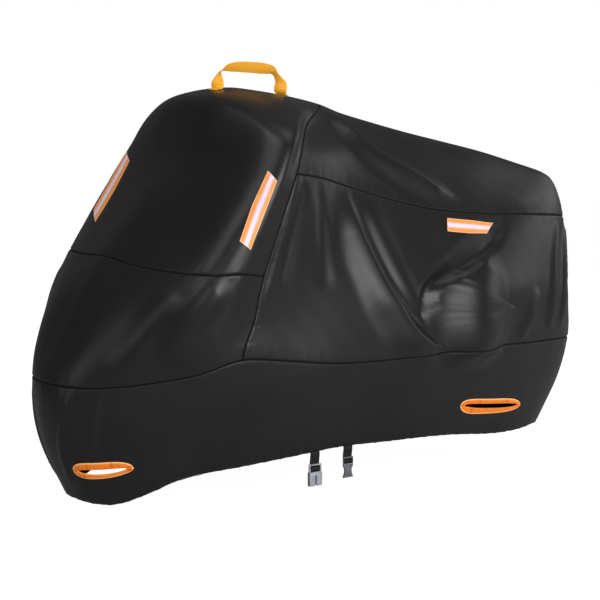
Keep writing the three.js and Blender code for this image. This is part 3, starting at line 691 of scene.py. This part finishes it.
def setFloor():
    mesh = bpy.data.meshes.new("floor")
    low, radius, corners = -partOrigin[2] / 1000, stage["floorRadius"], stage["floorCorners"]
    turns = np.linspace(0, 2 * math.pi, corners + 1)[:-1]
    rim = [(radius * math.cos(a), radius * math.sin(a), low) for a in turns]
    mesh.from_pydata(rim, [], [tuple(range(corners))])
    look, tree, shader = newMaterial("paleFloor", Base_Color=stage["floorColor"], Roughness=0.9)
    shader.inputs["Emission Color"].default_value = (1, 1, 1, 1)
    seen = addNode(tree, "ShaderNodeLightPath").outputs["Is Camera Ray"]
    glow = mapRange(tree, seen, after=(0.0, stage["floorGlow"]))
    tree.links.new(glow, shader.inputs["Emission Strength"])
    mesh.materials.append(look)
    addItem("floor", mesh)


setCamera()
setLights()
setFloor()
say("stage")


# Panels

def frontStations():
    half = cloth["perStation"] * archStation
    return mark(-archStation, archStation, 2 * half, (True, True))


def rearStations():
    steps = cloth["perStation"] * (tailStation - archStation)
    return mark(archStation, tailStation, steps, (True, True))


def seatStations():
    steps = cloth["perStation"] * (tailStation - archStation)
    near = mark(archStation, tailStation, steps, (True, False))
    return np.concatenate([near, -near[-2::-1]])


grids, pieces = {}, {}


def keepPiece(name, item):
    pieces[name] = item
    say(name, len(item.data.polygons), "faces")


def makePanel(name, stations, marks, seams, seed):
    station, ring = np.meshgrid(stations, marks)
    points, across, down, nearest = dressSeams(coverPoint(station, ring), seams, seed)
    item = sheetObject(name, points, across, down, {"seam": nearest}, clothLook)
    grids[name] = points
    dress(item, panels[name]["node"])
    keepPiece(name, item)


# Each panel's node, and its flat cut in metres and square metres.
panels = {
    "frontUpperCloth": {"node": "front_upper_panel", "size": (1.35, 0.95), "area": 0.78},
    "frontLowerCloth": {"node": "front_lower_panel", "size": (1.35, 0.45), "area": 0.42},
    "seatCloth": {"node": "seat_panel", "size": (0.95, 1.5), "area": 0.85},
    "sideClothLeft": {"node": "side_panel_left", "size": (1.75, 0.58), "area": 0.79},
    "sideClothRight": {"node": "side_panel_right", "size": (1.75, 0.58), "area": 0.79},
    "skirtCloth": {"node": "skirt_panel", "size": (4.9, 0.42), "area": 1.6},
}
upperEdges, allEdges = ["start", "end", "bottom"], ["start", "end", "top", "bottom"]
frontUpperMarks = ringMarks(0, crossRing, (False, True))
frontLowerMarks = ringMarks(crossRing, bandRing, (True, True))
seatMarks = ringMarks(0, upperRing, (False, True))
sideMarks = ringMarks(upperRing, bandRing, (True, True))
makePanel("frontUpperCloth", frontStations(), frontUpperMarks, upperEdges, 1.0)
makePanel("frontLowerCloth", frontStations(), frontLowerMarks, allEdges, 2.0)
makePanel("seatCloth", seatStations(), seatMarks, upperEdges, 3.0)
makePanel("sideClothLeft", rearStations(), sideMarks, allEdges, 4.0)
makePanel("sideClothRight", -rearStations()[::-1], sideMarks, allEdges, 5.0)


# Lock holes on both sides: stations and rings of the slit's ends, and the binding's width round it.
eyelets = [
    {
        "name": "Front", "from": 0.96, "to": 2.66, "ring": (6.4, 6.43),
        "upper": 24, "lower": (17, 9), "start": 15, "end": 13,
    },
    {
        "name": "Rear", "from": 9.29, "to": 10.82, "ring": (6.3, 6.4),
        "upper": 19, "lower": (27, 11), "start": 24, "end": 12,
    },
]
slitHalfRing = 0.085  # half of the cut's height in rings


def blend(pair, share):
    return pair[0] + (pair[1] - pair[0]) * share


def makeSkirt():
    stations = mark(-tailStation, tailStation, 2 * cloth["perStation"] * tailStation)
    turned = np.linspace(hemRing, turnedRing, cloth["turnRows"] + 1)[1:]
    marks = np.concatenate([ringMarks(bandRing, hemRing, (True, False)), turned])
    station, ring = np.meshgrid(stations, marks)
    points = coverPoint(station, ring)
    across, down = arcs(points)
    hemRow = int(np.argmin(np.abs(marks - hemRing)))
    above = np.clip(down[hemRow] - down, 0, None)
    wave = noiseLine(across * (gather["hem"] / across[:, -1:]), gather["length"], 0.5)
    gathered = gather["height"] * np.exp(-above / gather["reach"]) * wave
    points = points + gridNormals(points) * gathered[..., None]
    points, across, down, nearest = dressSeams(points, ["top"], 6.0)
    middle = np.abs((station[:-1, :-1] + station[1:, 1:]) / 2)
    level = (ring[:-1, :-1] + ring[1:, 1:]) / 2
    keep = np.ones(middle.shape, bool)
    for hole in eyelets:
        start, end = hole["from"], hole["to"]
        inside = (middle > start) & (middle < end)
        centre = blend(hole["ring"], (middle - start) / (end - start))
        out = (2 * middle - start - end) / (end - start)
        keep &= ~(inside & (out**4 + ((level - centre) / slitHalfRing) ** 2 < 1))
    points[:, -1] = points[:, 0]
    item = sheetObject("skirtCloth", points, across, down, {"seam": nearest}, clothLook, keep)
    grids["skirtCloth"] = points
    dress(item, "skirt_panel")
    keepPiece("skirtCloth", item)
    return int(np.argmin(np.abs(down[hemRow].mean() - down.mean(1) - stitch["hemInset"])))


hemStitchRow = makeSkirt()


# Bindings round the lock holes

def spanOf(station, ring):
    tiny = 0.02
    across = smoothPoint(station + tiny, ring) - smoothPoint(station - tiny, ring)
    down = smoothPoint(station, ring + tiny) - smoothPoint(station, ring - tiny)
    return (float(np.linalg.norm(v)) / (2 * tiny) for v in (across, down))


# Tucks across the binding: angle round the hole and reach (degrees), depth; each tuck sinks the cloth and
# is painted darker as shade. Section: share of the width outside the slit's lip, and height over the
# cloth, from the outer edge inwards.
binding = {
    "slit": 9, "lipInset": 6, "steps": 300, "thickness": 1.2,
    "crease": 0.6, "pinch": 1.4, "sink": 1.6,
    "tucks": [
        (252, 1.8, 0.55), (293, 2.6, 0.45), (345, 5, 0.7), (15, 6, 0.85), (127, 3, 0.5),
        (182, 7, 0.35), (212, 3, 0.3),
    ],
    "section": [
        (1.0, 1.5), (0.97, 2.1), (0.85, 2.7), (0.6, 3.0), (0.35, 3.1), (0.15, 2.9), (0.04, 2.3),
        (0.0, 1.2), (0.0, -1.5), (0.03, -4),
    ],
}


def makeBinding(hole, side):
    angle = np.linspace(0, 2 * math.pi, binding["steps"] + 1)
    c, w = np.cos(angle), np.sin(angle)
    middle, half = (hole["from"] + hole["to"]) / 2, (hole["to"] - hole["from"]) / 2
    across, down = spanOf(np.array(middle), np.array(sum(hole["ring"]) / 2))
    endWidth = np.where(c < 0, hole["start"], hole["end"])
    lower = blend(hole["lower"], (c + 1) / 2)
    wide = endWidth * c**4 + np.where(w < 0, hole["upper"], lower) * (1 - c**4)
    lipLength = half * across - binding["lipInset"]
    lip = np.stack([np.sign(c) * np.abs(c) ** 0.7 * lipLength, w * binding["slit"]])
    outward = unit(np.stack([c**3, np.sign(w) * np.abs(w) ** 0.6]).T).T
    atEnd = np.abs(c) ** 3 * np.where(c > 0, 1.0, 0.5)
    degrees = np.degrees(angle)
    tuck = sum(deep * np.exp(-((degrees - at) / reach) ** 2) for at, reach, deep in binding["tucks"])
    rows, folds = [], []
    for share, lift in binding["section"]:
        along, drop = lip + outward * wide * share
        s = side * (middle + along / across)
        r = blend(hole["ring"], (along / across / half + 1) / 2) + drop / down
        crease = binding["crease"] * noiseLine(angle * 40 + 9 * share, 34, 2 + side)
        crease += binding["pinch"] * atEnd * noiseLine(angle * 40, 17, 4 - side)
        bend = math.sin(math.pi * min(max(share, 0), 1))
        height = lift + (crease - binding["sink"] * tuck) * bend
        rows.append(coverPoint(s, r) + normalOf(coverPoint, s, r) * height[:, None])
        # Painted shade: this fold mark falls in the tucks, where the binding's colour is darkened.
        folds.append(1 - tuck * (0.35 + 0.65 * bend))
    points, folds = np.array(rows), np.array(folds)
    points[:, -1] = points[:, 0]
    if side < 0:
        points, folds = points[:, ::-1], folds[:, ::-1]
    around, width = arcs(points)
    edge = np.minimum(width, width[-1:] - width)
    marks = {"edge": edge, "fold": folds}
    end, hand = hole["name"], "Left" if side > 0 else "Right"
    name, thickness = "binding" + end + hand, binding["thickness"]
    item = sheetObject(name, points, around, width, marks, bindingLook, thickness=thickness)
    dress(item, f"lock_hole_{end.lower()}_{hand.lower()}")
    keepPiece(name, item)


for hole in eyelets:
    for side in (1, -1):
        makeBinding(hole, side)


# Reflective tapes: rows run down the tape's place and columns along it, each cell (station, ring)

tape = {"thickness": 1.1, "lift": 0.9, "long": 44, "short": 14}
rearTape = [
    [(9.25, 2.12), (9.73, 2.13), (10.23, 2.16)], [(9.18, 2.31), (9.63, 2.32), (10.08, 2.31)],
]
tapes = {
    "FrontLeft": {"node": "front_left", "side": 1, "tall": True, "cells": [
        [(3.25, 2.01), (3.82, 2.11)], [(3.2, 2.35), (3.88, 2.44)], [(3.35, 2.66), (3.95, 2.74)],
    ]},
    "FrontRight": {"node": "front_right", "side": -1, "tall": True, "cells": [
        [(1.88, 2.09), (2.62, 1.98)], [(1.66, 2.37), (2.42, 2.31)], [(1.5, 2.68), (2.25, 2.58)],
    ]},
    "RearLeft": {"node": "rear_left", "side": 1, "tall": False, "cells": rearTape},
    "RearRight": {"node": "rear_right", "side": -1, "tall": False, "cells": rearTape},
}


def makeTape(key, row):
    cells = np.array(row["cells"], float)
    steps = (tape["long"], tape["short"]) if row["tall"] else (tape["short"], tape["long"])
    downMarks = np.linspace(0, len(cells) - 1, steps[0] + 1)
    acrossMarks = np.linspace(0, cells.shape[1] - 1, steps[1] + 1)
    rows, columns = range(len(cells)), range(cells.shape[1])
    places = []
    for k in (0, 1):
        filled = np.array([np.interp(acrossMarks, columns, line[:, k]) for line in cells])
        places.append(np.array([np.interp(downMarks, rows, line) for line in filled.T]).T)
    station, ring = row["side"] * places[0], places[1]
    if row["side"] < 0:
        station, ring = station[:, ::-1], ring[:, ::-1]
    lift = tape["lift"] + tape["thickness"]
    points = coverPoint(station, ring) + normalOf(coverPoint, station, ring) * lift
    across, down = arcs(points)
    width, height = across[:, -1:] - across, down[-1:] - down
    toSide, toEnd = np.minimum(across, width), np.minimum(down, height)
    if row["tall"]:
        marks = {"middle": toSide / (across[:, -1:] / 2), "end": toEnd}
    else:
        marks = {"middle": toEnd / (down[-1:] / 2), "end": toSide}
    name = "tape" + key
    item = sheetObject(name, points, across, down, marks, tapeLook, thickness=tape["thickness"])
    dress(item, "reflective_tape_" + row["node"])
    keepPiece(name, item)


for key, row in tapes.items():
    makeTape(key, row)


# Webbing of the handle and the belts

noGap = 1e-4  # rows closer than this count as one place


# A curve through rows, with the same easing from row to row as the part's own centripetal one.
def curveThrough(rows, count):
    rows = np.array(rows, float)
    rows = np.vstack([2 * rows[0] - rows[1], rows, 2 * rows[-1] - rows[-2]])
    made = []
    for t in np.linspace(0, len(rows) - 3, count + 1):
        k = min(int(t), len(rows) - 4)
        a, b, c, d = rows[k : k + 4]
        gap = [math.sqrt(np.linalg.norm(end - start)) for start, end in ((a, b), (b, c), (c, d))]
        gap[1] = gap[1] if gap[1] > noGap else 1.0
        gap[0], gap[2] = (g if g > noGap else gap[1] for g in (gap[0], gap[2]))
        startPull = ((b - a) / gap[0] - (c - a) / (gap[0] + gap[1]) + (c - b) / gap[1]) * gap[1]
        endPull = ((c - b) / gap[1] - (d - b) / (gap[1] + gap[2]) + (d - c) / gap[2]) * gap[1]
        w = t - k
        bend = (2 * b - 2 * c + startPull + endPull) * w**3
        bend = bend + (3 * c - 3 * b - 2 * startPull - endPull) * w**2
        made.append(bend + startPull * w + b)
    return np.array(made)


webbing = {
    "thickness": 1.8, "handleWidth": 42, "beltWidth": 35, "handleSteps": 190, "beltSteps": 110,
}
# Columns: y, height above the cover, turn about its own run (degrees), width.
handleRun = [
    (-430, 0.4, 0, 42), (-421, 1.5, 0, 42), (-414, 8, 30, 42), (-411, 20, 46, 36),
    (-408, 33, 40, 26), (-402, 48, -6, 16), (-386, 57, -38, 30), (-350, 61, -50, 40), (-300, 65, -52, 42),
    (-250, 68, -52, 42), (-214, 68, -42, 37), (-197, 60, -24, 21), (-184, 46, -34, 26),
    (-176, 30, -48, 38), (-177, 13, -36, 42), (-170, 1, 0, 42), (-160, 0, 0, 42),
]
# The belt's run through the buckle's ladder: distance in front of the buckle, height over its top.
threading = [
    (-2, 14), (-3.2, 5), (-3.4, -1), (-2.8, -5), (0, -7.2), (2.8, -9.2), (3.4, -12), (3.4, -16),
    (2.8, -18.8), (0, -21), (-2.6, -22.6),
]
belts = {
    "Female": {"station": 6.53, "drop": 38, "node": "female"},
    "Male": {"station": 7.1, "drop": 34, "node": "male"},
}


def makeWebbing(name, places, sizes, axis, steps, look):
    path, size = curveThrough(places, steps), curveThrough(sizes, steps)
    run = unit(np.gradient(path, axis=0))
    axis = np.array(axis, float)
    flat = unit(axis - run * (run @ axis)[:, None])
    turn = np.radians(size[:, 0])[:, None]
    wide = flat * np.cos(turn) + np.cross(run, flat) * np.sin(turn)
    thick = np.cross(run, wide)
    r = webbing["thickness"] / 2
    bends = np.radians(np.linspace(-90, 90, 5))
    edge = [(1, r * math.cos(a), r * math.sin(a)) for a in bends]
    edge += [(-1, -r * math.cos(a), -r * math.sin(a)) for a in bends]
    edge.append(edge[0])
    points = np.zeros((len(path), len(edge), 3))
    for n, (side, out, up) in enumerate(edge):
        reach = side * (size[:, 1] / 2 - r) + out
        points[:, n] = path + wide * reach[:, None] + thick * up
    along = np.concatenate([[0], np.cumsum(np.linalg.norm(np.diff(path, axis=0), axis=1))])
    down = np.broadcast_to(along[:, None], points.shape[:2])
    across = np.stack([side * size[:, 1] / 2 + out for side, out, up in edge], axis=1)
    mesh = gridMesh(name, points, across, -down, {})
    cleanMesh(mesh, closed=True)
    item = finishObject(name, mesh, look)
    keepPiece(name, item)
    return item


def makeHandle():
    station, ring = np.meshgrid(np.arange(0, 7, 0.05), np.arange(0, 0.4, 0.05))
    top = smoothPoint(station, ring).reshape(-1, 3)
    top = top[top[:, 0] < webbing["handleWidth"] / 2]
    places = []
    for y, up, turn, width in handleRun:
        highest = top[np.abs(top[:, 1] - y) < 5][:, 2].max()
        places.append((0, y, highest + tape["lift"] + webbing["thickness"] / 2 + up))
    sizes = [(turn, width) for y, up, turn, width in handleRun]
    item = makeWebbing("handleWebbing", places, sizes, (1, 0, 0), webbing["handleSteps"], handleLook)
    dress(item, "handle_webbing")


def makeBelt(kind, belt):
    station = np.full(5, float(belt["station"]))
    hem = coverPoint(station, np.linspace(6.9, 7.3, 5))
    top = hem[np.argmin(hem[:, 2])] - (0, 0, tape["lift"])
    beside = np.array([belt["station"] - 0.2, belt["station"] + 0.2])
    here, there = smoothPoint(beside, np.full(2, float(hemRing)))
    ahead = unit((there - here) * (1, 1, 0))
    outward = np.cross(ahead, (0, 0, 1))
    rows = [(-1, belt["drop"] + 4), (0, belt["drop"] - 8), *threading]
    places = [top + outward * front + (0, 0, up - belt["drop"]) for front, up in rows]
    sizes = [(0, webbing["beltWidth"])] * len(rows)
    item = makeWebbing("belt" + kind, places, sizes, ahead, webbing["beltSteps"], beltLook)
    dress(item, "belt_webbing_" + belt["node"])


makeHandle()
for kind, belt in belts.items():
    makeBelt(kind, belt)


# Buckles: the part's own, with their moulded edges rounded

buckle = {"round": 0.7, "segments": 3, "angle": 28}
meshParts = ("position", ".edge_verts", ".corner_vert", ".corner_edge")
buckles = [
    ("Female", "buckle_female", "pale_plastic", paleLook),
    ("Male", "buckle_male", "dark_plastic", darkLook),
]


def makeBuckle(kind, node, look):
    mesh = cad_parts[node].data.copy()
    for name in [a.name for a in mesh.attributes if a.name not in meshParts]:
        if name in mesh.attributes and not mesh.attributes[name].is_required:
            mesh.attributes.remove(mesh.attributes[name])
    cleanMesh(mesh)
    item = finishObject("buckle" + kind, mesh, look)
    edges = item.modifiers.new("edges", "BEVEL")
    edges.width, edges.segments = buckle["round"] / 1000, buckle["segments"]
    edges.limit_method, edges.angle_limit = "ANGLE", math.radians(buckle["angle"])
    bake(item)
    smooth(item.data)
    dress(item, node)
    keepPiece(item.name, item)


for kind, node, slot, look in buckles:
    makeBuckle(kind, node, look)


# Stitches

def stitchTree():
    tree = bpy.data.node_groups.new("stitchRow", "GeometryNodeTree")
    for name, kind, way in (
        ("Points", "NodeSocketGeometry", "INPUT"), ("Length", "NodeSocketFloat", "INPUT"),
        ("Width", "NodeSocketFloat", "INPUT"), ("Height", "NodeSocketFloat", "INPUT"),
        ("Thread", "NodeSocketMaterial", "INPUT"), ("Stitches", "NodeSocketGeometry", "OUTPUT"),
    ):
        tree.interface.new_socket(name, in_out=way, socket_type=kind)
    start, end = tree.nodes.new("NodeGroupInput"), tree.nodes.new("NodeGroupOutput")
    given = start.outputs
    along, up = (
        addNode(tree, "GeometryNodeInputNamedAttribute", {"Name": name}, data_type="FLOAT_VECTOR")
        for name in ("along", "up")
    )
    turned = {"Primary Axis": outOf(along), "Secondary Axis": outOf(up)}
    turn = addNode(tree, "FunctionNodeAxesToRotation", turned, primary_axis="X", secondary_axis="Z")
    sides = {"X": given["Length"], "Y": given["Width"], "Z": given["Height"]}
    size = addNode(tree, "ShaderNodeCombineXYZ", sides)
    bead = addNode(tree, "GeometryNodeMeshIcoSphere", {"Radius": 0.5, "Subdivisions": 1})
    placed = {
        "Points": given["Points"], "Instance": bead.outputs["Mesh"],
        "Rotation": outOf(turn), "Scale": outOf(size),
    }
    sewn = addNode(tree, "GeometryNodeInstanceOnPoints", placed)
    real = addNode(tree, "GeometryNodeRealizeInstances", {"Geometry": outOf(sewn)})
    rounded = addNode(tree, "GeometryNodeSetShadeSmooth", {0: outOf(real)})
    colored = {"Geometry": outOf(rounded), "Material": given["Thread"]}
    dyed = addNode(tree, "GeometryNodeSetMaterial", colored)
    tree.links.new(outOf(dyed), end.inputs["Stitches"])
    return tree


stitchRows = stitchTree()


# Points every pitch along a line of surface points, each with its run and the way up.
def spacedPoints(line, normals):
    pitch, gap = stitch["pitch"], stitch["endGap"]
    steps = np.concatenate([[0], np.cumsum(np.linalg.norm(np.diff(line, axis=0), axis=1))])
    marks = np.arange(gap, steps[-1] - gap, pitch)
    at = np.stack([np.interp(marks, steps, line[:, k]) for k in range(3)], axis=1)
    up = unit(np.stack([np.interp(marks, steps, normals[:, k]) for k in range(3)], axis=1))
    ahead = np.stack([np.interp(marks + pitch / 2, steps, line[:, k]) for k in range(3)], axis=1)
    return at, unit(ahead - at), up


def sewRows(name, rows):
    found = [spacedPoints(line, normals) for line, normals in rows]
    at, along, up = (np.concatenate(part) for part in zip(*found))
    mesh = bpy.data.meshes.new(name)
    mesh.from_pydata(toPart(at + up * stitch["lift"]).tolist(), [], [])
    for key, values in (("along", along), ("up", up)):
        data = mesh.attributes.new(key, "FLOAT_VECTOR", "POINT")
        data.data.foreach_set("vector", values.astype(np.float32).ravel())
    item = addItem(name, mesh)
    sewing = item.modifiers.new("sewing", "NODES")
    sewing.node_group = stitchRows
    sockets = stitchRows.interface.items_tree
    inputs = {row.name: row.identifier for row in sockets if row.in_out == "INPUT"}
    for key, value in zip(("Length", "Width", "Height"), stitch["size"]):
        sewing[inputs[key]] = value / 1000
    sewing[inputs["Thread"]] = threadLook
    bake(item)
    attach(item, "root")
    pieces[name] = item
    say(name, len(at), "stitches")


# Which of a cloth's edges are sewn, and any further row of its grid.
def panelRows(name, edges, further=()):
    points = grids[name]
    normals = gridNormals(points)
    inset = 1 + seam["marks"].index(stitch["inset"])
    lines = [*(edgeLine(edge, inset) for edge in edges), *further]
    return [(points[line], normals[line]) for line in lines]


sewRows("frontUpperStitches", panelRows("frontUpperCloth", upperEdges))
sewRows("frontLowerStitches", panelRows("frontLowerCloth", ["start", "end"]))
sewRows("seatStitches", panelRows("seatCloth", upperEdges))
sewRows("skirtStitches", panelRows("skirtCloth", ["top"], [hemStitchRow]))


# What each cloth carries goes with it.
carried = {
    "frontUpperCloth": ["tapeFrontLeft", "tapeFrontRight", "handleWebbing", "frontUpperStitches"],
    "frontLowerCloth": ["frontLowerStitches"],
    "seatCloth": ["seatStitches"],
    "sideClothLeft": ["tapeRearLeft"],
    "sideClothRight": ["tapeRearRight"],
    "skirtCloth": [
        "bindingFrontLeft", "bindingFrontRight", "bindingRearLeft", "bindingRearRight",
        "beltFemale", "beltMale", "buckleFemale", "buckleMale", "skirtStitches",
    ],
}
for name, on in carried.items():
    row = panels[name]
